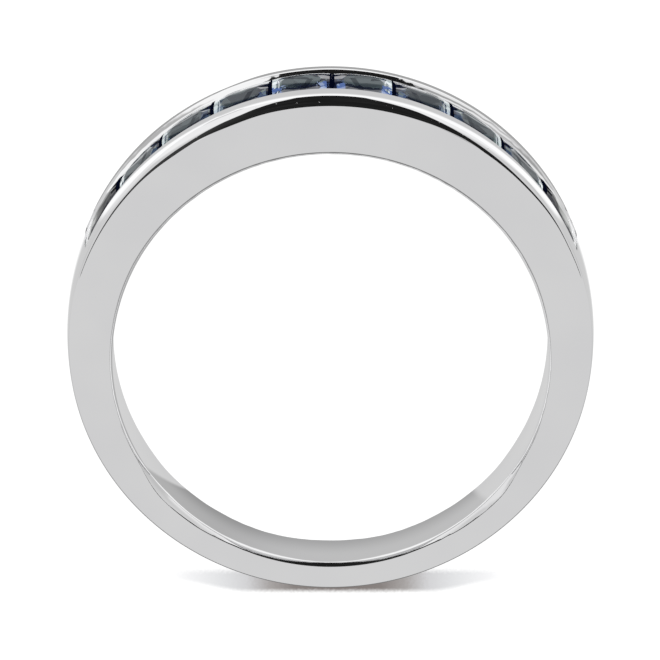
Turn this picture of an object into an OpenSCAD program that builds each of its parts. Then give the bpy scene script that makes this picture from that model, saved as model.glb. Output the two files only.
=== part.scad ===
// Half eternity ring: a tapered white metal band with a row of square sapphires in a channel.
// The ring lies on its side, on the floor plane z = 0, with the stones towards +Y.

/* [Finger hole] */
// Diameter of the finger hole
hole_d = 17.3; // [16.5:0.1:18.5]
// Radius of the roll on the edges of the finger hole
hole_roll_r = 0.4; // [0.3:0.02:0.44]

/* [Band] */
// Depth of metal between the finger hole and the crest, at the middle of the stones
top_depth = 2.53; // [2.45:0.01:2.9]
// Depth of metal at the bottom of the shank
bottom_depth = 1.11; // [1:0.01:1.3]
// Width of the band over the middle of the stones
top_w = 4.46; // [4.3:0.02:4.8]
// Width of the band at the bottom of the shank
bottom_w = 2.76; // [2.6:0.02:3.4]
// Radius of the gentle dome across the outer surface
dome_r = 20; // [16:1:30]

/* [Shoulders] */
// Radius of the roll between each side face and the outer surface
shoulder_roll_r = 0.62; // [0.58:0.01:0.68]
// Depth of that roll below the crest, at the middle of the stones
shoulder_depth = 0.4; // [0.34:0.01:0.44]
// Depth of that roll below the crest, at the sides of the ring
shoulder_side_depth = 0.04; // [0.02:0.01:0.08]

/* [Channel] */
// Width between the two channel walls, where they hold the stones
channel_w = 2.32; // [2.26:0.01:2.4]
// Width of the channel's opening at the crest, where the walls lean outwards
opening_w = 2.4; // [2.34:0.01:2.5]
// Clearance between a stone and its neighbours or the metal that holds it
seat_gap = 0.04; // [0.03:0.01:0.06]

/* [Stones] */
// Number of stones in the channel
stone_count = 10; // [6:1:10]
// Angle that one stone takes along the crest
stone_pitch = 13.75; // [13.3:0.05:13.9]
// Height of the crown, between the girdle and the table
crown_h = 0.16; // [0.14:0.01:0.2]
// Thickness of the girdle
girdle_h = 0.06; // [0.04:0.01:0.08]
// Depth of the pavilion below the girdle
pavilion_h = 1.3; // [1.15:0.05:1.35]
// How far a table lies below the crest of the band
table_recess = 0.1; // [0.08:0.01:0.12]
// How far a stone reaches under each channel wall
tuck = 0.03; // [0.02:0.01:0.05]
// Size of the table as a share of the stone
table_share = 0.64; // [0.58:0.01:0.7]

/* [Hidden] */
$fn = 180;

hole_r = hole_d / 2;
crest_r = hole_r + (top_depth + bottom_depth) / 2;     // the outer surface follows a circle
crest_up = (top_depth - bottom_depth) / 2;             // whose centre lies towards the stones
taper = atan((top_w - bottom_w) / 2 / (2 * crest_r));  // tilt of each flat side face
hole_half_w = bottom_w / 2 + (crest_r - crest_up) * tan(taper);  // half the width at the hole's centre

face_r = crest_r - shoulder_side_depth;                // the outer edge of a side face is a circle too
face_up = crest_up - (shoulder_depth - shoulder_side_depth);
roll_start = 25;                                       // where each roll leaves the side face,
shoulder_roll_end = 75;                                // and where it ends, from that face's normal
hole_roll_end = 80;
hole_roll_edge_r = hole_r + hole_roll_r * (sin(hole_roll_end) - sin(roll_start));

half_span = stone_count * stone_pitch / 2;             // the stones reach this far to each side
end_turn = 2 * asin(seat_gap / 2 / crest_r);
table_r = crest_r - table_recess;                      // a stone's levels, from the crest's centre
girdle_top_r = table_r - crown_h;
girdle_low_r = girdle_top_r - girdle_h;
culet_r = girdle_low_r - pavilion_h;
stone_half_w = channel_w / 2 + tuck;
stone_half_l = girdle_low_r * tan(stone_pitch / 2) - seat_gap / 2;
girdle_rise = norm([girdle_top_r, stone_half_l]) - girdle_top_r;  // a flat stone in a curved groove

// Turns the ring's own frame, with the finger hole along z, so that the lower side face lies on the floor.
module laid_down() {
    top_reach = (crest_r + crest_up) * cos(taper) + stone_half_w * sin(taper);
    bottom_reach = (crest_r - crest_up) * cos(taper) + bottom_w / 2 * sin(taper);
    translate([0, (bottom_reach - top_reach) / 2, hole_half_w * cos(taper)])
        rotate([taper, 0, 0])
            children();
}

// Puts the children on both side faces, with z = 0 on the face and z pointing out of the metal.
module on_each_side() {
    for (flip = [0, 1])
        mirror([0, 0, flip])
            translate([0, 0, hole_half_w])
                rotate([taper, 0, 0])
                    children();
}

// What a roll takes off an edge, turned about z. The roll leaves the face z = 0 at edge_r.
// out is 1 on an outer edge and -1 round a hole.
module roll_cut(edge_r, roll_r, roll_end, out) {
    reach = 3;
    rays = [roll_start / 2, (roll_start + roll_end) / 2, roll_end];
    rotate_extrude()
        translate([edge_r - out * roll_r * sin(roll_start), -roll_r * cos(roll_start)])
            difference() {
                polygon(concat([[0, 0]], [for (a = rays) reach * [out * sin(a), cos(a)]]));
                circle(roll_r);
            }
}

module outer_form() {
    translate([0, crest_up, 0])
        rotate_extrude()
            intersection() {
                translate([crest_r - dome_r, 0]) circle(dome_r);
                translate([crest_r / 2, -top_w]) square([crest_r, 2 * top_w]);
            }
}

// The space between the two side faces, a wedge that narrows towards the bottom of the shank.
module side_faces() {
    reach = 2 * crest_r;
    rise = reach * tan(taper);
    rotate([90, 0, 90])
        linear_extrude(height = 2 * reach, center = true)
            polygon([
                [-reach, rise - hole_half_w], [reach, -rise - hole_half_w],
                [reach, rise + hole_half_w], [-reach, hole_half_w - rise]
            ]);
}

module blank() {
    difference() {
        intersection() {
            outer_form();
            side_faces();
        }
        on_each_side()
            translate([0, face_up, 0])
                roll_cut(face_r, shoulder_roll_r, shoulder_roll_end, 1);
    }
}

// Section of the channel: the opening, the groove for the girdles and the V for the pavilions.
module channel_section() {
    groove_top = girdle_top_r + girdle_rise + seat_gap;
    groove_low = girdle_low_r - seat_gap;
    lean = (opening_w - channel_w) / 2 / (crest_r - groove_top);
    over = 1;                                          // the cut starts this far above the crest
    side = [
        [crest_r + over, opening_w / 2 + lean * over],
        [groove_top, channel_w / 2],
        [groove_top, stone_half_w + seat_gap],
        [groove_low, stone_half_w + seat_gap],
        [culet_r - 2 * seat_gap, 4 * seat_gap]
    ];
    polygon(concat(side, [for (i = [len(side) - 1 : -1 : 0]) [side[i].x, -side[i].y]]));
}

module channel() {
    half_turn = half_span + end_turn;
    translate([0, crest_up, 0])
        rotate([0, 0, 90 - half_turn])
            rotate_extrude(angle = 2 * half_turn)
                channel_section();
}

module band() {
    color([0.86, 0.86, 0.87])
        laid_down()
            difference() {
                difference() {
                    blank();
                    on_each_side() roll_cut(hole_roll_edge_r, hole_roll_r, hole_roll_end, -1);
                }
                cylinder(r = hole_r, h = 2 * top_w, center = true);
                channel();
            }
}

// Corners of one level of a stone, a rectangle whose corners are cut off.
function level(z, half_l, half_w, cut) = [
    [half_l - cut, half_w, z], [half_l, half_w - cut, z],
    [half_l, cut - half_w, z], [half_l - cut, -half_w, z],
    [cut - half_l, -half_w, z], [-half_l, cut - half_w, z],
    [-half_l, half_w - cut, z], [cut - half_l, half_w, z]
];

// A square cut: table, crown, girdle and a pavilion in two steps down to the culet. z = 0 is the girdle's top.
module cut_stone() {
    corner = 0.05;
    table_cut = 0.22;
    break_share = 0.6;
    break_depth = 0.48 * pavilion_h;
    levels = [
        level(crown_h, table_share * stone_half_l, table_share * stone_half_w, table_cut),
        level(0, stone_half_l, stone_half_w, corner),
        level(-girdle_h, stone_half_l, stone_half_w, corner),
        level(-girdle_h - break_depth, break_share * stone_half_l, break_share * stone_half_w, table_cut)
    ];
    sides = len(levels[0]);
    last = len(levels) - 1;
    culet = len(levels) * sides;
    polyhedron(
        points = concat([for (l = levels) each l], [[0, 0, -girdle_h - pavilion_h]]),
        faces = concat(
            [[for (j = [0 : sides - 1]) j]],
            [for (k = [0 : last - 1], j = [0 : sides - 1])
                [k * sides + j, (k + 1) * sides + j,
                 (k + 1) * sides + (j + 1) % sides, k * sides + (j + 1) % sides]],
            [for (j = [0 : sides - 1]) [last * sides + j, culet, last * sides + (j + 1) % sides]]
        )
    );
}

// Stones are counted from the -X end of the channel.
module stone(i) {
    turn = (i - (stone_count + 1) / 2) * stone_pitch;
    color([0.12, 0.18, 0.36])
        laid_down()
            translate([0, crest_up, 0])
                rotate([0, 0, -turn])
                    translate([0, girdle_top_r, 0])
                        rotate([-90, 0, 0])
                            cut_stone();
}

band();
for (i = [1 : stone_count])
    stone(i);
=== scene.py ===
# Half eternity ring lying on its side: a polished white gold band with ten square sapphires in a channel.
import math

import bmesh
import bpy
from mathutils import Matrix, Vector


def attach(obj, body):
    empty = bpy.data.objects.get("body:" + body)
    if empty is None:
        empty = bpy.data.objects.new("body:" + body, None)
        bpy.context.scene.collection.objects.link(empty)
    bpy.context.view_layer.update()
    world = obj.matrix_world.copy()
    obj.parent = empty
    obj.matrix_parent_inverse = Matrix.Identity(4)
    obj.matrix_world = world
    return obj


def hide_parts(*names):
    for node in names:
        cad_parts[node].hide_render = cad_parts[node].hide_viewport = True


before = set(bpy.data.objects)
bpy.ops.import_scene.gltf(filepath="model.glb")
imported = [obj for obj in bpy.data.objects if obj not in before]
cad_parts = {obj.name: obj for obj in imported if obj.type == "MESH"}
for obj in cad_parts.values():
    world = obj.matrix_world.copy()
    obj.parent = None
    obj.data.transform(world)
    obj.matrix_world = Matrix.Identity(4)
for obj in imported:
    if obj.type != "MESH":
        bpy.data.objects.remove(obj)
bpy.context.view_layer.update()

mm = 0.001
print("frame loaded:", len(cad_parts), "nodes")


class Wire:                                             # a node's output that can stand in a sum
    def __init__(self, net, socket):
        self.net = net
        self.socket = socket

    def __add__(self, other):
        return self.net.maths("ADD", self, other)

    def __radd__(self, other):
        return self.net.maths("ADD", other, self)

    def __sub__(self, other):
        return self.net.maths("SUBTRACT", self, other)

    def __rsub__(self, other):
        return self.net.maths("SUBTRACT", other, self)

    def __mul__(self, other):
        return self.net.maths("MULTIPLY", self, other)

    def __rmul__(self, other):
        return self.net.maths("MULTIPLY", other, self)

    def __truediv__(self, other):
        return self.net.maths("DIVIDE", self, other)

    def __rtruediv__(self, other):
        return self.net.maths("DIVIDE", other, self)


class Net:                                              # a node tree, whose nodes all come from one method
    def __init__(self, tree):
        self.tree = tree
        tree.nodes.clear()

    def node(self, kind, settings=None, sockets=None):
        made = self.tree.nodes.new(kind)
        for name, value in (settings or {}).items():
            if name == "stops":                         # a ramp's stops, each a position and a colour
                ramp = made.color_ramp
                while len(ramp.elements) < len(value):
                    ramp.elements.new(0.5)
                for element, (position, colour) in zip(ramp.elements, value):
                    element.position, element.color = position, colour
            else:
                setattr(made, name, value)
        for name, value in (sockets or {}).items():
            shown = [s for s in made.inputs if s.enabled]
            socket = shown[name] if isinstance(name, int) else next(s for s in shown if s.name == name)
            for one in value if isinstance(value, list) else [value]:
                if isinstance(one, Wire):
                    self.tree.links.new(one.socket, socket)
                else:
                    socket.default_value = one
        return {s.name: Wire(self, s) for s in reversed(made.outputs) if s.enabled}

    def maths(self, operation, *values):
        return self.node("ShaderNodeMath", {"operation": operation}, dict(enumerate(values)))["Value"]

    def size(self, value):
        return self.maths("ABSOLUTE", value)

    def length(self, one, two):
        return self.maths("SQRT", one * one + two * two)

    def vector(self, x, y, z):
        return self.node("ShaderNodeCombineXYZ", None, {0: x, 1: y, 2: z})["Vector"]

    def split(self, vector):
        parts = self.node("ShaderNodeSeparateXYZ", None, {0: vector})
        return parts["X"], parts["Y"], parts["Z"]

    def eased(self, value, low, high, start=0.0, end=1.0):   # start below low, end above high
        return self.node("ShaderNodeMapRange", {"interpolation_type": "SMOOTHSTEP"},
                         {0: value, 1: low, 2: high, 3: start, 4: end})["Result"]

    def below(self, value, limits):                     # one below the limits, nothing above them
        return self.eased(value, *limits, 1.0, 0.0)

    def within(self, value, limits, top=1.0):           # rises between two limits, falls between two more
        low, full, fading, high = limits
        return self.eased(value, low, full, 0.0, top) * self.below(value, (fading, high))

    def stepped(self, value, start, rows):              # each row: from, to and the change between them
        return sum((self.eased(value, low, high, 0.0, change) for low, high, change in rows), start)

    def noise(self, dimensions, sockets):
        return self.node("ShaderNodeTexNoise", {"noise_dimensions": dimensions}, sockets)["Fac"]

    def mixColour(self, factor, one, two):
        return self.node("ShaderNodeMix", {"data_type": "RGBA"}, {
            "Factor": factor, "A": one, "B": two})["Result"]


def mixed(one, two, share):
    return one + (two - one) * share


def inRadians(*degrees):
    return [math.radians(d) for d in degrees]


def newMaterial(name):
    material = bpy.data.materials.new(name)
    material.use_nodes = True
    return material, Net(material.node_tree)


def shapeNet(name, sizes):                              # a geometry tree with one named input per size
    tree = bpy.data.node_groups.new(name, "GeometryNodeTree")
    tree.interface.new_socket("Geometry", in_out="INPUT", socket_type="NodeSocketGeometry")
    tree.interface.new_socket("Geometry", in_out="OUTPUT", socket_type="NodeSocketGeometry")
    sockets = {}
    for label, value in sizes.items():
        kind = "NodeSocketInt" if isinstance(value, int) else "NodeSocketFloat"
        sockets[label] = tree.interface.new_socket(label, in_out="INPUT", socket_type=kind)
    net = Net(tree)
    return net, net.node("NodeGroupInput"), {label: s.identifier for label, s in sockets.items()}


def runShape(name, net, geometry, material, sizes, identifiers, base):
    solid = net.node("GeometryNodeRealizeInstances", None, {"Geometry": geometry})["Geometry"]
    solid = net.node("GeometryNodeSetMaterial", None, {"Geometry": solid, "Material": material})["Geometry"]
    net.node("NodeGroupOutput", None, {"Geometry": solid})
    maker = bpy.data.objects.new(name + "Maker", base)
    bpy.context.scene.collection.objects.link(maker)
    modifier = maker.modifiers.new("shape", "NODES")
    modifier.node_group = net.tree
    for label, value in sizes.items():
        modifier[identifiers[label]] = value
    grown = maker.evaluated_get(bpy.context.evaluated_depsgraph_get())
    piece = bpy.data.objects.new(name, bpy.data.meshes.new_from_object(grown))
    bpy.data.objects.remove(maker)
    bpy.context.scene.collection.objects.link(piece)
    piece.data.name = name
    return piece


# Where the ring lies: its own frame has the finger hole along z; it is tilted onto its lower side face.
# Sizes are in millimetres.
ring = {
    "crestUp": 0.71, "crestRadius": 10.47, "holeRadius": 8.65, "topWidth": 4.46, "bottomWidth": 2.76,
    "stoneHalfWidth": 1.19, "rowTurn": math.radians(0.35),
}
ring["taper"] = math.atan((ring["topWidth"] - ring["bottomWidth"]) / (4 * ring["crestRadius"]))
bottomUp = ring["crestRadius"] - ring["crestUp"]
ring["holeHalfWidth"] = ring["bottomWidth"] / 2 + bottomUp * math.tan(ring["taper"])
cosTaper, sinTaper = math.cos(ring["taper"]), math.sin(ring["taper"])
topReach = (ring["crestRadius"] + ring["crestUp"]) * cosTaper + ring["stoneHalfWidth"] * sinTaper
bottomReach = bottomUp * cosTaper + ring["bottomWidth"] / 2 * sinTaper
holeCentre = Vector((0, (bottomReach - topReach) / 2, ring["holeHalfWidth"] * cosTaper)) * mm


def laidDown(net, geometry):                            # from millimetres in the ring's frame to the floor
    return net.node("GeometryNodeTransform", None, {
        "Geometry": geometry, "Translation": holeCentre, "Rotation": (ring["taper"], 0, 0),
        "Scale": (mm, mm, mm)})["Geometry"]


# Camera: the photograph's angle, above the floor and towards the stones
cameraView = {"lean": math.radians(16.57), "distance": 0.6, "lens": 823.5, "sensor": 36, "farthest": 20,
              "right": -0.0194 * mm, "up": 0.6443 * mm}


def placeCamera():
    lean = cameraView["lean"]
    right = Vector((1, 0, 0))
    up = Vector((0, math.cos(lean), -math.sin(lean)))
    back = Vector((0, math.sin(lean), math.cos(lean)))
    place = holeCentre + back * cameraView["distance"] + right * cameraView["right"] + up * cameraView["up"]
    camera = bpy.data.objects.new("camera", bpy.data.cameras.new("camera"))
    camera.data.lens = cameraView["lens"]
    camera.data.sensor_width = cameraView["sensor"]
    camera.data.clip_end = cameraView["farthest"]
    camera.matrix_world = Matrix.Translation(place) @ Matrix((right, up, back)).transposed().to_4x4()
    bpy.context.scene.collection.objects.link(camera)
    bpy.context.scene.camera = camera
    bpy.context.scene.view_settings.view_transform = "Standard"


placeCamera()
print("camera placed")


# Finishes. Places are in millimetres, and a pair of limits is where a mark begins and where it is full.
goldLook = {
    "colour": (0.9, 0.9, 0.905, 1), "shade": (0.87, 0.87, 0.88, 1), "cloudScale": 260.0, "cloud": (0.3, 0.7),
    # lines left by the polishing wheel
    "polish": 0.03, "scratched": 0.07, "linesPerMm": 30.0, "lineRun": 9.0, "scratch": (0.6, 0.8),
    "bump": 0.06, "bumpDepth": 0.002 * mm,
    # pits and dust on the shoulder, by the distance from the crest's centre and the height above it
    "pitScale": 4800.0, "pitSize": (0.04, 0.17), "pitChance": (0.35, 1.0), "pitRough": 0.9, "pitDull": 0.35,
    "pitBump": 2.0, "pitReach": (10.06, 10.1, 10.24, 10.26), "pitUp": (6.0, 7.0),
    # the satin ends of the channel: half its width, the same distance, and the share of it to the side
    "endsHalfWidth": (1.36, 1.38), "endsReach": (9.0, 9.1, 10.38, 10.4),
    "endsAside": (0.9, 0.92, 0.936, 0.94), "endsRough": 0.45, "endsDull": 0.6,
}


def whiteGold():
    material, net = newMaterial("whiteGold")
    look = goldLook
    here = net.node("ShaderNodeTexCoord")["Object"]
    x, y, z = net.split(here)
    x, y, z = x / mm, (y - holeCentre.y) / mm, z / mm
    reach = net.length(x, y)
    # the lines run round the ring
    run = look["lineRun"]
    lines = net.noise("4D", {
        "Vector": net.vector(x / reach * run, y / reach * run, reach * look["linesPerMm"]),
        "W": z * look["linesPerMm"], "Scale": 1.0, "Detail": 3.0})
    cloud = net.noise("3D", {"Vector": here, "Scale": look["cloudScale"], "Detail": 2.0})
    cell = net.node("ShaderNodeTexVoronoi", None, {"Vector": here, "Scale": look["pitScale"]})
    fromCrest = y - ring["crestUp"]
    crestReach = net.length(x, fromCrest)
    shoulder = net.within(crestReach, look["pitReach"]) * net.eased(fromCrest, *look["pitUp"])
    chance = net.split(cell["Color"])[0]
    speck = net.below(cell["Distance"], look["pitSize"]) * net.eased(chance, *look["pitChance"]) * shoulder
    across = (z - holeCentre.z / mm) * cosTaper - y * sinTaper
    atEnds = net.within(net.size(x) / crestReach, look["endsAside"])
    atEnds = atEnds * net.within(crestReach, look["endsReach"])
    atEnds = atEnds * net.below(net.size(across), look["endsHalfWidth"])
    colour = net.mixColour(net.eased(cloud, *look["cloud"]), look["shade"], look["colour"])
    rough = mixed(look["polish"], look["scratched"], net.eased(lines, *look["scratch"]))
    rough = rough + speck * look["pitRough"] + atEnds * look["endsRough"]
    bump = net.node("ShaderNodeBump", None, {
        "Strength": look["bump"], "Distance": look["bumpDepth"], "Height": lines + speck * look["pitBump"]})
    shader = net.node("ShaderNodeBsdfPrincipled", None, {
        "Base Color": colour, "Metallic": 1.0 - speck * look["pitDull"] - atEnds * look["endsDull"],
        "Roughness": rough, "Normal": bump["Normal"]})["BSDF"]
    net.node("ShaderNodeOutputMaterial", None, {"Surface": shader})
    return material


# The stones' colours paint the light and shade seen in them: painted reflections, glints and flashes, and
# painted shade at the fronts, corners, some facets and the gaps.
stoneLook = {
    "table": (0.008, 0.015, 0.026, 1), "tableLight": (0.1, 0.13, 0.14, 1), "navy": (0.003, 0.006, 0.022, 1),
    "slate": (0.045, 0.07, 0.12, 1), "greyGreen": (0.14, 0.18, 0.18, 1), "pale": (0.6, 0.68, 0.7, 1),
    "cornflower": (0.09, 0.15, 0.36, 1), "bright": (0.26, 0.33, 0.5, 1), "lit": (0.75, 0.8, 0.84, 1),
    "rimHighlight": (0.8, 0.82, 0.84, 1), "olive": (0.022, 0.022, 0.016, 1), "smoke": (0.2, 0.21, 0.2, 1),
    "gap": (0.001, 0.002, 0.008, 1), "gapRough": 0.5, "index": 1.77, "middleOfRow": 5.5,
    "hazeScale": 5200.0, "haze": (0.4, 0.8, 0.01, 0.05),
    # painted reflections seen through the table: steps along, aslant and across the stone, and from stone to
    # stone
    "flashes": {"along": 1.9, "slant": 0.5, "across": 1.1, "apart": 3.7, "scale": 3.0, "jumble": 0.8},
    "depths": {"along": 0.9, "slant": -0.6, "across": 0.9, "apart": 5.1, "scale": 1.6, "jumble": 0.7},
    "depthShare": 0.8,
    # the table ends earlier at its corners, and a painted glint line crosses the crown beyond it
    "tableEnd": (0.76, 0.775), "cornerFrom": 0.35, "cornerSlant": 0.4,
    "lineAt": 0.86, "lineBow": 0.12, "lineWidth": (0.008, 0.022),
    # the crown's painted reflections and shade, on the side towards the middle of the ring and away from it
    "innerSlate": (0.3, 0.5), "innerGrey": (0.78, 0.8), "outerGrey": (0.4, 0.5),
    "paleFrom": (1.0, 1.02), "paleSlant": 0.08,
    # painted blue flashes at the sides of the middle stones
    "flashStones": (0.6, 2.0), "flashFront": (0.0, 0.05), "flashUneven": 0.5, "flashAside": (0.8, 0.84),
    "flashAsideUneven": 0.25, "flashChance": (0.15, 0.2), "brightChance": (0.62, 0.64),
    # a corner towards the middle of the ring, painted dark as shade
    "cornerDark": (1.13, 1.15), "cornerUneven": 0.12, "cornerBack": 0.2, "cornerLean": 0.2,
    # the end stones, olive and grey: the grey is a painted sheen, lighter towards the outer end
    "endStones": 4.0, "endShare": 0.85, "endEdge": (0.38, 0.42), "endSlant": 0.3, "endShift": 0.7,
    "endShade": 0.35,
    # the front of each table, painted dark as shade, up to an uneven line
    "front": (-0.42, -0.38, 0.85, 0.0), "frontUneven": 0.25, "frontSlant": 0.1, "frontAside": (0.7, 0.75),
    "frontShade": 0.8,
    # facets painted dark as shade, which mirror little
    "facetAt": -0.4, "facetSlant": 0.25, "facetUneven": 0.1, "facetWidth": (0.11, 0.13),
    "facetBack": (0.5, 0.54), "facetBackUneven": 0.3, "facetShade": 0.5,
    "shadeChance": (0.62, 0.64, 0.0, 0.35), "shadeAside": (0.66, 0.7),
    # the painted highlight along the girdle at the back, and where the gap to the next stone begins
    "rimFrom": (1.04, 1.06), "gapFrom": (1.14, 1.145),
}


def sapphire():
    material, net = newMaterial("sapphire")
    look = stoneLook

    # across the stone: down runs along the row away from the middle of the ring, y towards the back wall
    x, y, _ = net.split(net.node("ShaderNodeAttribute", {"attribute_name": "cutPlace"})["Vector"])
    number = net.node("ShaderNodeAttribute", {"attribute_name": "stoneNumber"})["Fac"]
    onRight = net.maths("GREATER_THAN", number, look["middleOfRow"])
    down = x * (onRight * 2.0 - 1.0)
    downside = net.maths("GREATER_THAN", down, 0.0)
    reach = net.size(x)
    fromMiddle = net.size(number - look["middleOfRow"])

    def patches(along, slant, across, apart, scale, jumble):    # flat, with straight edges
        return net.node("ShaderNodeTexVoronoi", {"voronoi_dimensions": "3D"}, {
            "Vector": net.vector(down * along + y * slant, y * across, number * apart),
            "Scale": scale, "Randomness": jumble})["Color"]

    one, two, _ = net.split(patches(**look["flashes"]))
    light, darkPatches, _ = net.split(patches(**look["depths"]))
    # the table: a dark body colour with lighter patches that are painted reflections
    table = net.mixColour(light * look["depthShare"], look["table"], look["tableLight"])
    # the crown: painted reflections, pale at the end away from the middle, darker at the end towards it
    outer = net.mixColour(net.eased(one, *look["outerGrey"]), look["slate"], look["greyGreen"])
    paleEdge = down + y * look["paleSlant"] + one * look["paleSlant"]
    outer = net.mixColour(net.eased(paleEdge, *look["paleFrom"]), outer, look["pale"])
    inner = net.mixColour(net.eased(one, *look["innerSlate"]), look["navy"], look["slate"])
    inner = net.mixColour(net.eased(two, *look["innerGrey"]), inner, look["greyGreen"])
    crown = net.mixColour(downside, inner, outer)
    # a painted glint line across the crown
    line = net.below(net.size(down - look["lineAt"] - y * y * look["lineBow"]), look["lineWidth"])
    crown = net.mixColour(line, crown, look["lit"])
    nearCorner = net.maths("MAXIMUM", net.size(y) - look["cornerFrom"], 0.0)
    pastTable = net.eased(reach + nearCorner * look["cornerSlant"], *look["tableEnd"])
    colour = net.mixColour(pastTable, table, crown)

    # painted blue flashes, standing in for light reflected inside the stone
    flash = net.below(y + two * look["flashUneven"], look["flashFront"])
    flash = flash * net.eased(reach + one * look["flashAsideUneven"], *look["flashAside"])
    flash = flash * net.below(fromMiddle, look["flashStones"])
    blue = net.mixColour(net.eased(one, *look["brightChance"]), look["cornflower"], look["bright"])
    colour = net.mixColour(flash * net.eased(two, *look["flashChance"]), colour, blue)
    chance = net.node("ShaderNodeTexWhiteNoise", {"noise_dimensions": "1D"}, {"W": number + 0.5})["Value"]
    # painted shade in the corner towards the middle of the ring
    towardsBack = net.maths("MAXIMUM", y - look["cornerBack"], 0.0) * (chance + look["cornerLean"])
    corner = net.eased(chance * look["cornerUneven"] - down + towardsBack, *look["cornerDark"])
    colour = net.mixColour(corner, colour, look["navy"])

    # the end stones: a painted grey sheen towards the outer end, over olive, with painted shade on the inner
    # part
    inEnd = net.maths("GREATER_THAN", fromMiddle, look["endStones"])
    outwards = net.eased(down + y * look["endSlant"] + onRight * look["endShift"], *look["endEdge"])
    plain = net.mixColour(outwards, look["olive"], look["smoke"])
    colour = net.mixColour(inEnd * look["endShare"], colour, plain)
    # painted shade along the front of each table
    front = y + two * look["frontUneven"] - reach * look["frontSlant"] - inEnd * look["frontSlant"]
    front = net.eased(front, *look["front"])
    front = front * net.maths("MAXIMUM", net.below(reach, look["frontAside"]), inEnd)
    colour = net.mixColour(front, colour, look["navy"])
    # a painted highlight along the girdle at the back
    colour = net.mixColour(net.eased(y, *look["rimFrom"]), colour, look["rimHighlight"])

    # painted shade on some facets and patches, mixed towards the gap's dark finish
    facet = net.size(down - look["facetAt"] + y * look["facetSlant"] - chance * look["facetUneven"])
    facet = net.below(facet, look["facetWidth"])
    facet = facet * net.below(y + one * look["facetBackUneven"], look["facetBack"])
    paintedDark = net.eased(darkPatches, *look["shadeChance"]) * net.below(net.size(down), look["shadeAside"])
    for other in (facet * look["facetShade"], (1.0 - outwards) * inEnd * look["endShade"],
                  front * inEnd * look["frontShade"]):
        paintedDark = net.maths("MAXIMUM", paintedDark, other)

    place = net.node("ShaderNodeTexCoord")["Object"]
    haze = net.noise("3D", {"Vector": place, "Scale": look["hazeScale"], "Detail": 3.0})
    polished = net.node("ShaderNodeBsdfPrincipled", None, {
        "Base Color": colour, "Roughness": net.eased(haze, *look["haze"]), "IOR": look["index"]})["BSDF"]
    # between two stones hardly any light comes back: the gap is painted dark as shade
    gap = net.node("ShaderNodeBsdfPrincipled", None, {
        "Base Color": look["gap"], "Roughness": look["gapRough"], "Specular IOR Level": 0.0})["BSDF"]
    inGap = net.eased(reach, *look["gapFrom"]) * (1.0 - inEnd * downside)
    shader = net.node("ShaderNodeMixShader", None, {
        0: net.maths("MAXIMUM", inGap, paintedDark), 1: polished, 2: gap})["Shader"]
    net.node("ShaderNodeOutputMaterial", None, {"Surface": shader})
    return material


whiteGoldFinish, sapphireFinish = whiteGold(), sapphire()
print("finishes made")


# The band. Half of its section is a row of strips, each carried right round the ring, then mirrored.
bandSizes = {
    "Hole radius": ring["holeRadius"], "Hole half width": ring["holeHalfWidth"], "Hole edge radius": 8.8155,
    "Hole roll": 0.34, "Hole roll beside": 0.13, "Hole roll at the sides": 0.04, "Hole roll at the top": 0.13,
    "Hole roll break": math.radians(53), "Hole roll end": math.radians(80), "Least shoulder": 0.035,
    "Chamfer": 0.018, "Chamfer at the top": 0.04, "Chamfer tilt": math.radians(27),
    "Chamfer wander": 14.0, "Chamfer wear": 2.2, "Chamfer worn off": 0.1,
    "Crest radius": 10.4625, "Crest up": ring["crestUp"], "Dome radius": 20.0, "Taper": ring["taper"],
    "Face radius": 10.405, "Face up": 0.35, "Shoulder roll": 0.61, "Roll start": math.radians(25),
    "Deeper to the left": 0.058, "Shallower to the right": 0.03,
    "Front half width": 1.07, "Back half width": 1.27, "Seat depth": 0.085,
    "Channel half turn": math.radians(68.969), "Row turn": ring["rowTurn"],
    "Lip lean": math.radians(14), "Lip unevenness": math.radians(2), "Lip wander": 22.0, "Lip hollow": 0.4,
    "Groove top": 10.16, "Groove low": 9.98, "Floor radius": 8.6, "Floor half width": 0.16, "Weld": 0.0004,
}
# What was filed by hand. The shoulder's changes are in turns from the middle of the stones. The rest have a
# row for each change: from and to, in degrees from the bottom, and the change, or the size that is reached.
filing = {
    "deeper": inRadians(-49, -33, -24, -12), "shallower": inRadians(48, 58, 60, 68),
    "roll": [(0, 17, "Hole roll beside"), (24, 60, "Hole roll at the sides"),
             (85, 115, "Hole roll at the top")],
    "chamfer": [(120, 150, "Chamfer at the top")],
    "edge": [(24, 38, 0.07), (36, 50, 0.05), (49, 62, -0.17), (90, 125, 0.07)],
    "first": [(22, 34, math.radians(-11.5)), (32, 42, math.radians(-6.5)), (54, 64, math.radians(18))],
    "second": [(22, 34, math.radians(-2)), (54, 64, math.radians(2))],
    "tighter": [(22, 30, -0.75), (54, 64, 0.75)],
}
# Faces across each strip of the section, and along the ring over the stones and under them
bandGrid = {"wall": 3, "roll": 10, "chamfer": 1, "face": 2, "shoulder": 14, "land": 8, "dome": 6, "lip": 6,
            "groove": 2, "overStones": 268, "underStones": 452}
sharp = {"angle": math.radians(7), "touching": 1e-8}


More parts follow.
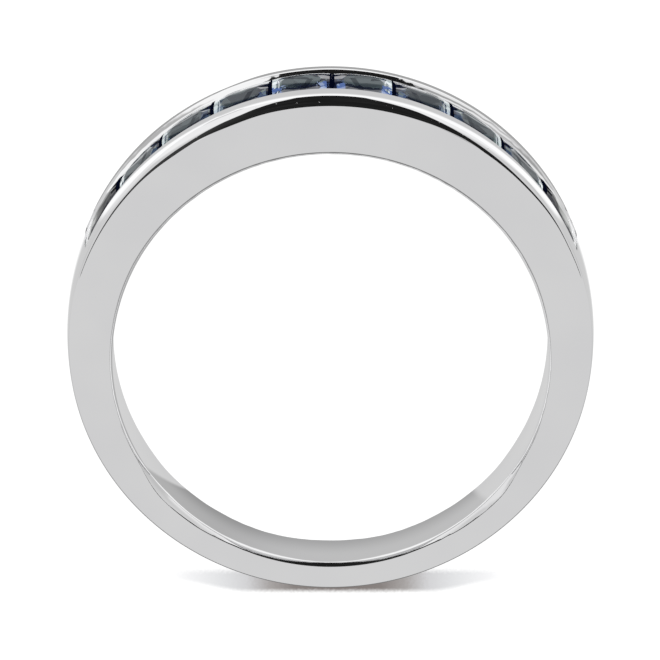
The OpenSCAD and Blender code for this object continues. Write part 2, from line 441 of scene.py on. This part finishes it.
def makeBand():
    net, given, identifiers = shapeNet("bandShape", bandSizes)
    crest, crestUp, dome = given["Crest radius"], given["Crest up"], given["Dome radius"]
    shoulderRoll, rollStart = given["Shoulder roll"], given["Roll start"]
    halfWidth, faceRadius = given["Hole half width"], given["Face radius"]

    def sine(angle):
        return net.maths("SINE", angle)

    def cosine(angle):
        return net.maths("COSINE", angle)

    def root(value):
        return net.maths("SQRT", value)

    def domeAt(z):
        return crest - dome + root(dome * dome - z * z)

    sinT, cosT = sine(given["Taper"]), cosine(given["Taper"])
    tanT = sinT / cosT
    startSin, startCos = sine(rollStart), cosine(rollStart)
    across, along, _ = net.split(net.node("GeometryNodeInputPosition")["Position"])
    share = across + 0.5                                # every strip is a grid one unit wide, centred

    def oneStretch(low, high, columns, inChannel):
        angle = mixed(low, high, along + 0.5)
        sinP, cosP = sine(angle), cosine(angle)

        def tilted(reach, rise):                        # near the side face, which the taper tilts
            return [reach * sinP, reach * cosP * cosT - rise * sinT,
                    halfWidth + reach * cosP * sinT + rise * cosT]

        def turned(reach, z):                           # at this distance from the crest's centre
            return [reach * sinP, crestUp + reach * cosP, z]

        drop = crestUp - given["Face up"]
        z = halfWidth + (crestUp + crest * cosP) * tanT
        edgeOfDome = domeAt(halfWidth + (crestUp + domeAt(z) * cosP) * tanT)
        off = drop * sinP
        faceTurn = angle - net.maths("ARCSINE", off / faceRadius)
        faceReach = root(faceRadius * faceRadius - off * off) - drop * cosP
        deeper = net.within(angle, filing["deeper"], given["Deeper to the left"])
        deeper = deeper - net.within(angle, filing["shallower"], given["Shallower to the right"])
        gap = net.maths("MAXIMUM", edgeOfDome - faceReach + deeper, given["Least shoulder"])
        faceReach = edgeOfDome - gap
        turnSin, turnCos = sine(faceTurn), cosine(faceTurn)
        edgeY = crestUp + faceReach * cosP
        edge = [faceReach * sinP, edgeY, halfWidth + edgeY * tanT]

        def shoulder(sinA):                             # on the shoulder's roll, by its angle's sine
            out = shoulderRoll * (sinA - startSin)
            down = shoulderRoll * (startCos - root(1.0 - sinA * sinA))
            return [edge[0] + out * turnSin, edge[1] + out * turnCos * cosT + down * sinT,
                    edge[2] + out * turnCos * sinT - down * cosT]

        endSin = startSin + gap / shoulderRoll          # the roll ends where it meets the dome
        for _ in range(3):
            x, y, z = shoulder(endSin)
            missing = domeAt(z) - net.length(x, y - crestUp)
            endSin = net.maths("MAXIMUM", endSin + missing / shoulderRoll, startSin)
        rollEnd = shoulder(endSin)

        # the roll round the hole has a narrow chamfer, a tight part that dies out away from the bottom, and
        # two wide parts
        fromBottom = net.size(net.size(angle) - math.pi)

        def filed(start, rows):
            inTurns = [(math.radians(low), math.radians(high), change) for low, high, change in rows]
            return net.stepped(fromBottom, start, inTurns)

        def filedTo(first, rows):                       # each row names the size that is reached
            steps, last = [], given[first]
            for low, high, name in rows:
                steps.append((low, high, given[name] - last))
                last = given[name]
            return filed(given[first], steps)

        tight = filedTo("Hole roll", filing["roll"])
        holeEdge = filed(given["Hole edge radius"], filing["edge"])
        worn = net.noise("1D", {"W": angle * given["Chamfer wander"], "Scale": 1.0, "Detail": 3.0})
        chamfer = filedTo("Chamfer", filing["chamfer"])
        chamfer = chamfer * (worn * given["Chamfer wear"] - given["Chamfer worn off"])
        chamferIn = chamfer * cosine(given["Chamfer tilt"])
        chamferDown = chamfer * sine(given["Chamfer tilt"])
        first = filed(given["Hole roll break"], filing["first"])
        second = filed(given["Hole roll break"], filing["second"])
        tighter = filed(1.0, filing["tighter"])
        holeRollEnd = given["Hole roll end"]
        wide = holeEdge - given["Hole radius"] - chamferIn - tight * (sine(first) - startSin)
        wide = wide / (sine(second) - sine(first) + tighter * (sine(holeRollEnd) - sine(second)))

        def hole(a):                                    # on the roll round the hole, at the angle a
            low, high = net.maths("MINIMUM", a, first), net.maths("MAXIMUM", a, second)
            between = net.maths("MINIMUM", net.maths("MAXIMUM", a, first), second)
            inward = tight * (sine(low) - startSin) + wide * (sine(between) - sine(first))
            inward = inward + wide * tighter * (sine(high) - sine(second))
            down = tight * (startCos - cosine(low)) + wide * (cosine(first) - cosine(between))
            down = down + wide * tighter * (cosine(second) - cosine(high))
            return tilted(holeEdge - chamferIn - inward, 0.0 - chamferDown - down)

        wall = hole(holeRollEnd)
        fit = given["Hole radius"] / net.length(wall[0], wall[1]) - 1.0
        rolled = hole(mixed(holeRollEnd, rollStart, share))
        grow = 1.0 + fit * (1.0 - share)
        faceStart = tilted(holeEdge, 0.0 * holeEdge)

        # the channel's walls lean out, a little unevenly, as the metal was pushed over the stones
        ragged = net.noise("1D", {"W": angle * given["Lip wander"], "Scale": 1.0, "Detail": 1.0})
        lean = given["Lip lean"] + (ragged - 0.5) * given["Lip unevenness"]
        top, hollow = given["Groove top"], given["Lip hollow"]
        start = turned(domeAt(rollEnd[2]), rollEnd[2])

        def channelSide(half):
            lip = half + (domeAt(half) - top) * net.maths("TANGENT", lean)
            z = mixed(rollEnd[2], lip, share)
            land = zip(turned(domeAt(z), z), rollEnd, start)
            found = [(bandGrid["land"], [n + (e - f) * (1.0 - share) for n, e, f in land])]
            if not inChannel:
                z = lip * (1.0 - share)
                return found + [(bandGrid["dome"], turned(domeAt(z), z))]
            seat, low, floorRadius = half + given["Seat depth"], given["Groove low"], given["Floor radius"]
            up = 1.0 - share                            # each wall is slightly hollow
            rise = half + (lip - half) * up * (1.0 - hollow + hollow * up)
            found.append((bandGrid["lip"], turned(mixed(domeAt(lip), top, share), rise)))
            section = [(top, half), (top, seat), (low, seat), (floorRadius, given["Floor half width"]),
                       (floorRadius, 0.0 * half)]
            for (r1, z1), (r2, z2) in zip(section, section[1:]):
                found.append((bandGrid["groove"], turned(mixed(r1, r2, share), mixed(z1, z2, share))))
            return found

        endAngle = net.maths("ARCSINE", endSin)
        parts = [
            (bandGrid["wall"], [wall[0] * (1.0 + fit), wall[1] * (1.0 + fit), wall[2] * share]),
            (bandGrid["roll"], [rolled[0] * grow, rolled[1] * grow, rolled[2]]),
            (bandGrid["chamfer"], [mixed(a, b, share) for a, b in zip(hole(rollStart), faceStart)]),
            (bandGrid["face"], [mixed(a, b, share) for a, b in zip(faceStart, edge)]),
            (bandGrid["shoulder"], shoulder(sine(mixed(rollStart, endAngle, share)))),
        ]

        def strips(rowsAndPoints):
            made = []
            for rows, point in rowsAndPoints:
                grid = net.node("GeometryNodeMeshGrid", None, {
                    "Size X": 1.0, "Size Y": 1.0, "Vertices X": rows + 1, "Vertices Y": columns + 1})["Mesh"]
                made.append(net.node("GeometryNodeSetPosition", None, {
                    "Geometry": grid, "Position": net.vector(*point)})["Geometry"])
            return made

        shared = strips(parts)
        return [shared + strips(channelSide(given[name])) for name in ("Front half width", "Back half width")]

    middle, turn = given["Row turn"], given["Channel half turn"]
    over = oneStretch(middle - turn, middle + turn, bandGrid["overStones"], True)
    under = oneStretch(middle + turn, middle - turn + 2 * math.pi, bandGrid["underStones"], False)
    front, rear = [net.node("GeometryNodeJoinGeometry", None, {"Geometry": a + b})["Geometry"]
                   for a, b in zip(over, under)]
    rear = net.node("GeometryNodeTransform", None, {"Geometry": rear, "Scale": (1, 1, -1)})["Geometry"]
    both = net.node("GeometryNodeJoinGeometry", None, {"Geometry": [front, rear]})["Geometry"]
    both = net.node("GeometryNodeMergeByDistance", None, {
        "Geometry": both, "Distance": given["Weld"]})["Geometry"]
    return runShape("polishedBand", net, laidDown(net, both), whiteGoldFinish, bandSizes, identifiers,
                    bpy.data.meshes.new("empty"))


def closeAndShade(piece):
    shape = bmesh.new()
    shape.from_mesh(piece.data)
    bmesh.ops.dissolve_degenerate(shape, dist=sharp["touching"], edges=shape.edges)
    bmesh.ops.holes_fill(shape, edges=[e for e in shape.edges if e.is_boundary], sides=0)
    bmesh.ops.recalc_face_normals(shape, faces=shape.faces)
    for f in shape.faces:
        f.smooth = True
    for e in shape.edges:
        e.smooth = len(e.link_faces) == 2 and e.calc_face_angle(0) < sharp["angle"]
    loose = sum(1 for e in shape.edges if len(e.link_faces) != 2)
    shape.to_mesh(piece.data)
    shape.free()
    return loose


band = makeBand()
print("band made:", len(band.data.polygons), "faces, open edges:", closeAndShade(band))
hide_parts("band")
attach(band, "root")


# The stones: one block is cut facet by facet, then set round the channel.
cut = {
    "halfLength": 1.22, "halfWidth": 1.185, "table": 0.16, "tableShare": 0.7, "girdleLow": -0.06,
    "corner": 0.07, "blockHalfHeight": 2, "onPlane": 1e-5,
    # the crown is shallow, and drops steeply at the girdle
    "crownSlope": 12, "endSlope": 62, "sideSlope": 80,
    # each star facet: its turn, its slope and its reach where it meets the table
    "stars": [(45, 13, 0.93), (22.5, 12.5, 0.86), (67.5, 12.5, 0.88)],
    # each chevron of the pavilion: its turn off the side and its depth under the middle
    "pavilionSlope": 49.8, "chevrons": [(10, 1.46), (20, 1.36)],
}
# Places along the row are counted in stones from its middle.
setting = {
    "Count": 10, "Pitch": math.radians(13.75), "Girdle radius": 10.2, "Crest up": ring["crestUp"],
    "Sunk at the sides": 0.085, "Sunk from": 0.6, "Sunk to": 1.8, "Raised from": 3.6, "Raised to": 4.4,
    "Row turn": ring["rowTurn"], "Shift back": 0.065, "Wobble": 0.004, "Seed": 7,
}


def sliceOff(shape, normal, point):                     # takes off what lies beyond a plane, closes the cut
    parts = shape.verts[:] + shape.edges[:] + shape.faces[:]
    made = bmesh.ops.bisect_plane(
        shape, geom=parts, plane_co=point, plane_no=normal, clear_outer=True, dist=cut["onPlane"])
    edges = [g for g in made["geom_cut"] if isinstance(g, bmesh.types.BMEdge)]
    if len(edges) > 2:
        bmesh.ops.holes_fill(shape, edges=edges, sides=0)


def heading(turn, slope, way):                          # a facet's normal, by its turn and slope in degrees
    turn, slope = math.radians(turn), math.radians(slope)
    return Vector((math.sin(slope) * math.cos(turn), math.sin(slope) * math.sin(turn), way * math.cos(slope)))


def level(turn):                                        # straight out from the stone's middle
    return heading(turn, 90, 0)


def cutStone():
    shape = bmesh.new()
    halfL, halfW = cut["halfLength"], cut["halfWidth"]
    table, girdle = Vector((0, 0, cut["table"])), Vector((0, 0, cut["girdleLow"]))
    bmesh.ops.create_cube(shape, size=2, matrix=Matrix.Diagonal((halfL, halfW, cut["blockHalfHeight"], 1)))
    sliceOff(shape, Vector((0, 0, 1)), table)
    for turn in (45, 135, 225, 315):
        sliceOff(shape, level(turn), level(turn) * (halfL + halfW - cut["corner"]) / math.sqrt(2))
    for turn in (0, 90, 180, 270):
        reach, steep = (halfL, cut["endSlope"]) if turn % 180 == 0 else (halfW, cut["sideSlope"])
        out = level(turn)
        sliceOff(shape, heading(turn, cut["crownSlope"], 1), out * reach * cut["tableShare"] + table)
        sliceOff(shape, heading(turn, steep, 1), out * reach)
        sliceOff(shape, heading(turn, cut["pavilionSlope"], -1), out * reach + girdle)
    for quarter in (0, 90, 180, 270):
        for turn, slope, reach in cut["stars"]:
            turn = quarter + turn if quarter % 180 == 0 else quarter + 90 - turn
            sliceOff(shape, heading(turn, slope, 1), level(turn) * reach + table)
        for off, depth in cut["chevrons"]:
            for way in (-1, 1):
                out = level(quarter + way * off)
                corner = max(out.dot(Vector((i * halfL, j * halfW, 0))) for i in (-1, 1) for j in (-1, 1))
                slope = math.degrees(math.atan((depth + cut["girdleLow"]) / corner))
                sliceOff(shape, heading(quarter + way * off, slope, -1), Vector((0, 0, -depth)))
    mesh = bpy.data.meshes.new("cutStone")
    shape.to_mesh(mesh)
    loose = sum(1 for e in shape.edges if len(e.link_faces) != 2)
    heights = [v.co.z for v in shape.verts]
    print("stone cut:", len(shape.faces), "facets,", loose, "open edges, height",
          [round(min(heights), 3), round(max(heights), 3)])
    shape.free()
    return mesh


def setStones():
    net, given, identifiers = shapeNet("stoneRow", setting)
    stone = net.node("GeometryNodeStoreNamedAttribute", {"data_type": "FLOAT_VECTOR", "domain": "CORNER"}, {
        "Geometry": given["Geometry"], "Name": "cutPlace",
        "Value": net.node("GeometryNodeInputPosition")["Position"]})["Geometry"]
    row = net.node("GeometryNodeMeshLine", None, {"Count": given["Count"]})["Mesh"]
    index = net.node("GeometryNodeInputIndex")["Index"]
    place = index - (given["Count"] - 1.0) * 0.5
    turn = place * given["Pitch"] + given["Row turn"]
    fromMiddle = net.size(place)
    sunk = given["Sunk at the sides"]
    reach = given["Girdle radius"] - net.eased(fromMiddle, given["Sunk from"], given["Sunk to"], 0.0, sunk)
    reach = reach + net.eased(fromMiddle, given["Raised from"], given["Raised to"], 0.0, sunk)
    spot = net.vector(reach * net.maths("SINE", turn), given["Crest up"] + reach * net.maths("COSINE", turn),
                      0.0 - given["Shift back"])
    row = net.node("GeometryNodeSetPosition", None, {"Geometry": row, "Position": spot})["Geometry"]
    wobble = net.node("FunctionNodeRandomValue", {"data_type": "FLOAT_VECTOR"}, {
        "Min": (-1, -1, -1), "Max": (1, 1, 1), "Seed": given["Seed"]})["Value"]
    wx, wy, wz = net.split(wobble)
    facing = net.vector(wx * given["Wobble"] - math.pi / 2, wy * given["Wobble"], wz * given["Wobble"] - turn)
    facing = net.node("FunctionNodeEulerToRotation", None, {0: facing})["Rotation"]
    stones = net.node("GeometryNodeInstanceOnPoints", None, {
        "Points": row, "Instance": stone, "Rotation": facing})["Instances"]
    stones = net.node("GeometryNodeStoreNamedAttribute", {"data_type": "FLOAT", "domain": "INSTANCE"}, {
        "Geometry": stones, "Name": "stoneNumber", "Value": index + 1.0})["Geometry"]
    return runShape("sapphires", net, laidDown(net, stones), sapphireFinish, setting, identifiers, cutStone())


stones = setStones()
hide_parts(*["stone_%d" % n for n in range(1, 11)])
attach(stones, "root")
print("stones set:", len(stones.data.polygons), "faces", [a.name for a in stones.data.attributes])


# The floor, which only the camera sees, and the card that polished faces mirror in its place
floorLook = {
    "radius": 4.0, "steps": 64, "shadowNoiseScale": 9.0,
    # The shadow is painted into the floor's colour, with noise along its edges.
    # the shadow, in millimetres: its two edges with how far each is soft, its reach to a side, and how far
    # its near edge is lifted towards the sides
    "shadowEnd": -11.574, "endSoft": (-0.02, 0.25), "shadowStart": -10.525, "startSoft": (-0.25, 0.1),
    "reach": 7.0, "aside": 0.28, "lift": (3.6, 6.6, 0.0, 0.45),
    "shadowNoiseAlong": 0.05, "shadowNoiseAtEnd": 0.1, "shadowNoiseAtStart": 0.2,
    # painted shadow colour by the distance to the side: the contact, the soft ends, the bare floor
    "stops": [(0.0, (0.15, 0.128, 0.122, 1)), (0.25, (0.19, 0.172, 0.165, 1)), (0.39, (0.3, 0.285, 0.28, 1)),
              (0.52, (0.49, 0.49, 0.5, 1)), (0.66, (0.57, 0.575, 0.585, 1)), (0.86, (0.68, 0.68, 0.69, 1)),
              (1.0, (0.8, 0.8, 0.8, 1))],
}
cardLook = {
    "radius": 15.0 * mm, "steps": 96, "height": -0.02 * mm,
    # inside the hole, by the distance from its wall: the brightness, the darker bottom, and the white further
    # in, which ends at a slanting line
    "inside": (0.0, 0.8, 0.66, 0.68), "bottomDarker": (0.0, 0.8, -0.26, -0.12),
    "leftDarker": (-4.0, -1.0, 0.09, 0.0),
    "white": [(1.08, 1.2, 0.7), (2.6, 4.0, 0.4)], "whiteEnd": (1.2, 1.8), "whiteUp": -2.9, "whiteSlant": 1.4,
    # the edge of the bottom's grey, on the left and on the right
    "greySlant": (-0.9, 0.5), "greyAside": (5.48, 5.7), "greySoft": (-0.14, 0.14), "sideways": (-0.1, 0.1),
    # outside the ring, by the distance from its outer wall
    "wallRadius": 10.4, "leastSlope": 0.4, "beyond": (0.2, 1.3, 1.08, 0.64), "nextToStones": (0.38, 0.46),
    # the belts next to the stones, each row from, to and the change: a light rim, a grey belt that their
    # tables mirror, a dark one, then paler
    "beltStart": 0.4, "belts": [(0.19, 0.22, 0.65), (0.42, 0.47, -0.69), (0.74, 0.86, -0.33),
                                (1.55, 1.75, 0.62), (2.1, 2.28, 0.46), (2.7, 3.5, -0.42)],
}


def flatDisc(name, radius, height, steps, material):
    shape = bmesh.new()
    bmesh.ops.create_circle(
        shape, cap_ends=True, segments=steps, radius=radius, matrix=Matrix.Translation((0, 0, height)))
    mesh = bpy.data.meshes.new(name)
    shape.to_mesh(mesh)
    shape.free()
    mesh.materials.append(material)
    disc = bpy.data.objects.new(name, mesh)
    bpy.context.scene.collection.objects.link(disc)
    return disc


def paleFloor():                                        # a soft shadow, painted into the floor's colour, on the -Y side of the ring
    material, net = newMaterial("paleFloor")
    look = floorLook
    x, y, _ = net.split(net.node("ShaderNodeTexCoord")["Object"])
    x, y = x / mm - look["aside"], y / mm
    shadowNoise = net.noise("3D", {"Vector": net.vector(x, y, 0.0), "Scale": look["shadowNoiseScale"], "Detail": 2.0})
    shadowNoise = shadowNoise - 0.5
    aside = net.size(x)
    ramp = net.node("ShaderNodeValToRGB", {"stops": look["stops"]}, {
        0: aside / look["reach"] + shadowNoise * look["shadowNoiseAlong"]})["Color"]
    fromEnd = y - net.eased(aside, *look["lift"]) + shadowNoise * look["shadowNoiseAtEnd"] - look["shadowEnd"]
    fromStart = y + shadowNoise * look["shadowNoiseAtStart"] - look["shadowStart"]
    shade = net.eased(fromEnd, *look["endSoft"]) * net.below(fromStart, look["startSoft"])
    bare = look["stops"][-1][1]
    shader = net.node("ShaderNodeBsdfDiffuse", None, {"Color": net.mixColour(shade, bare, ramp)})["BSDF"]
    net.node("ShaderNodeOutputMaterial", None, {"Surface": shader})
    return material


def cardGlow():                                         # brightness by the distance from the ring's wall
    material, net = newMaterial("cardGlow")
    look = cardLook
    x, y, _ = net.split(net.node("ShaderNodeTexCoord")["Object"])
    x, y = x / mm, y / mm - holeCentre.y / mm
    toHole = net.length(x, y)
    inHole = ring["holeRadius"] - toHole
    inner = inHole / net.maths("MAXIMUM", 0.0 - y / toHole, look["leastSlope"])
    reach = net.length(x, y - ring["crestUp"])
    ahead = (y - ring["crestUp"]) / reach
    outer = (reach - look["wallRadius"]) / net.maths("MAXIMUM", ahead, look["leastSlope"])
    aside = net.size(x)

    def sided(leftAndRight):
        return net.eased(x, *look["sideways"], *leftAndRight)

    # the grey in the bottom of the hole ends in a slanting edge on each side, and is darker to the left
    off = aside + inner * sided(look["greySlant"]) - sided(look["greyAside"])
    bottom = net.below(off, look["greySoft"])
    inside = net.eased(inner, *look["inside"]) + net.eased(inner, *look["bottomDarker"]) * bottom
    inside = inside - net.eased(x, *look["leftDarker"]) * bottom
    white = net.below(aside + (y - look["whiteUp"]) * look["whiteSlant"], look["whiteEnd"])
    inside = mixed(inside, 1.0, white * net.stepped(inner, 0.0, look["white"]))
    belts = net.stepped(outer, look["beltStart"], look["belts"])
    outside = mixed(net.eased(outer, *look["beyond"]), belts, net.eased(ahead, *look["nextToStones"]))
    glow = net.node("ShaderNodeMix", {"data_type": "FLOAT"}, {
        "Factor": net.maths("GREATER_THAN", inHole, 0.0), "A": outside, "B": inside})["Result"]
    shader = net.node("ShaderNodeEmission", None, {"Color": (1, 1, 1, 1), "Strength": glow})["Emission"]
    net.node("ShaderNodeOutputMaterial", None, {"Surface": shader})
    return material


floor = flatDisc("floor", floorLook["radius"], 0.0, floorLook["steps"], paleFloor())
floor.visible_glossy = floor.visible_transmission = False
card = flatDisc("mirrorCard", cardLook["radius"], cardLook["height"], cardLook["steps"], cardGlow())
card.visible_camera = card.visible_diffuse = card.visible_shadow = False
band.visible_diffuse = stones.visible_diffuse = False   # the floor keeps its even white close to the ring


# Light: a pale tent with one dark patch towards the stones, which narrows downwards, and a soft box above.
# A turn is the angle from straight up towards the stones, and x, y and z are parts of a direction.
tent = {
    "plain": 1.3, "pale": 0.7, "paleBack": 0.2, "low": 0.58, "rising": (0.15, 0.6), "forwards": (-0.1, 0.1),
    "beside": 0.96, "besideX": (0.84, 0.92), "besideTurn": inRadians(48, 80, 104, 120),
    "left": 0.84, "leftX": (-0.84, -0.76), "leftTurn": inRadians(15, 40, 104, 120),
    "floor": 0.95, "floorZ": (-0.2, 0.1), "floorSlant": 0.1,
    "dark": 0.012, "darkLeft": 0.045, "darkRight": 0.09, "leftFrom": (-0.6, -0.35), "rightFrom": (0.7, 0.8),
    "streak": 0.02, "streakLimits": (0.5, 0.75), "streakScale": (2.0, 22.0),
    # half the dark patch's width by the angle from straight up, as shares of darkEnd and of one unit
    "darkEnd": math.radians(131),
    "darkWidth": [(0.0, 0.765), (0.08, 0.76), (0.18, 0.71), (0.3, 0.67), (0.46, 0.59), (0.66, 0.44),
                  (0.79, 0.22), (1.0, 0.0)],
    "sideSoft": (-0.015, 0.015), "startSoft": (-0.02, 0.02),
    # the turn at which the patch starts: in its middle, beside that, and at the sides
    "start": math.radians(3), "startBeside": math.radians(26), "startAtSides": math.radians(-15),
    "middleX": 0.025, "startBesideX": (0.135, 0.175), "startAtSidesX": (0.47, 0.6),
    # wavy light for the channel's walls, brighter to the left
    "wave": (0.35, 0.6, 0.5, 1.02), "waveScale": (3.0, 7.0), "waveShift": 4.0,
    "waveRight": (-0.1, 0.1, 0.0, -0.12),
    "wallsX": (0.44, 0.5), "wallsTurn": inRadians(-14, -8), "wallsEnd": (-0.06, -0.02),
}
softBox = {"place": (0.0, 0.32, 0.62), "size": 0.5, "power": 0.5}


def studio():
    world = bpy.data.worlds.new("studio")
    bpy.context.scene.world = world
    world.use_nodes = True
    net = Net(world.node_tree)
    x, y, z = net.split(net.node("ShaderNodeTexCoord")["Generated"])
    aside = net.size(x)
    ahead = net.eased(y, *tent["forwards"])
    turn = net.maths("ARCTAN2", y, z)

    def pattern(scale, shift, detail):
        acrossScale, turnScale = scale
        return net.noise("2D", {
            "Vector": net.vector(x * acrossScale, turn * turnScale + shift, 0.0),
            "Scale": 1.0, "Detail": detail})

    pale = mixed(mixed(tent["paleBack"], tent["low"], ahead), tent["pale"], net.eased(z, *tent["rising"]))
    beside = net.below(aside, tent["besideX"]) * net.within(turn, tent["besideTurn"])
    pale = mixed(pale, tent["beside"], beside)
    pale = mixed(pale, tent["left"], net.below(x, tent["leftX"]) * net.within(turn, tent["leftTurn"]))
    pale = mixed(pale, tent["floor"], net.below(z + ahead * tent["floorSlant"], tent["floorZ"]))

    stops = [(place, (width, width, width, 1)) for place, width in tent["darkWidth"]]
    share = net.maths("MAXIMUM", turn, 0.0) / tent["darkEnd"]
    width = net.node("ShaderNodeValToRGB", {"stops": stops}, {0: share})["Color"]
    fromMiddle = net.size(x - tent["middleX"])
    start = net.eased(fromMiddle, *tent["startBesideX"], tent["start"], tent["startBeside"])
    start = start + net.eased(aside, *tent["startAtSidesX"], 0.0, tent["startAtSides"] - tent["startBeside"])
    patch = net.eased(width - aside, *tent["sideSoft"]) * net.eased(turn - start, *tent["startSoft"])
    streaks = pattern(tent["streakScale"], 0.0, 3.0)
    dark = net.eased(x, *tent["leftFrom"], tent["darkLeft"], tent["dark"])
    dark = dark + net.eased(streaks, *tent["streakLimits"]) * tent["streak"]
    dark = dark + net.eased(x, *tent["rightFrom"], 0.0, tent["darkRight"])
    mirrored = mixed(pale, dark, patch)

    wave = pattern(tent["waveScale"], tent["waveShift"], 0.0)
    walls = net.eased(wave, *tent["wave"]) + net.eased(x, *tent["waveRight"])
    onWalls = net.eased(turn, *tent["wallsTurn"]) * net.below(turn - tent["startBeside"], tent["wallsEnd"])
    onWalls = onWalls * net.below(aside, tent["wallsX"]) * (1.0 - patch)
    mirrored = mixed(mirrored, walls, onWalls)
    path = net.node("ShaderNodeLightPath")
    plain = net.maths("MAXIMUM", path["Is Camera Ray"], path["Is Diffuse Ray"])
    light = net.node("ShaderNodeBackground", None, {
        "Color": (1, 1, 1, 1), "Strength": mixed(mirrored, tent["plain"], plain)})["Background"]
    net.node("ShaderNodeOutputWorld", None, {"Surface": light})
    world.cycles.sampling_method = "NONE"


def addSoftBox():
    light = bpy.data.lights.new("softBox", "AREA")
    light.shape = "SQUARE"
    light.size = softBox["size"]
    light.energy = softBox["power"]
    lamp = bpy.data.objects.new("softBox", light)
    lamp.location = softBox["place"]
    lamp.rotation_euler = Vector(softBox["place"]).to_track_quat("Z", "Y").to_euler()
    lamp.visible_glossy = lamp.visible_transmission = False
    bpy.context.scene.collection.objects.link(lamp)


studio()
addSoftBox()
print("floor and light set")
